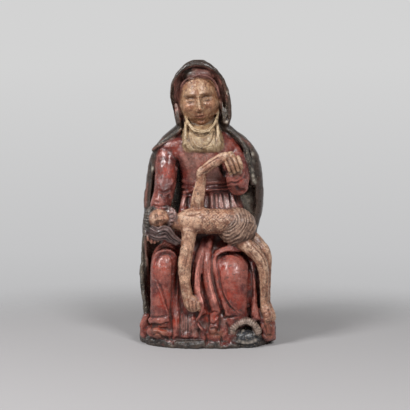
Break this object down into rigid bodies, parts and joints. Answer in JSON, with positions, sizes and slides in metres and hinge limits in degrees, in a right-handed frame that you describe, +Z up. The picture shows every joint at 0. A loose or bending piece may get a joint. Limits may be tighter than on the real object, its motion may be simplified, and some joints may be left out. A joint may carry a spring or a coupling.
{
  "type": "carved wooden pieta statue",
  "caption": "Painted wood carving of a seated mother in a mantle and hood, who holds a dead man across her lap on a low ground.",
  "frame": {"origin": "centre of the sawn underside, in the middle of the block's width and depth", "axes": "+Z up along the height, the front faces -Y, and -X is the side of the dead man's head, left as seen from the front"},
  "size_m": [0.268, 0.19, 0.55],
  "materials": {
    "painted_wood": "old oil paint over gesso, crackled, flaked and varnished"
  },
  "bodies": {
    "root": {"pieta_group": "painted_wood"}
  },
  "joints": []
}
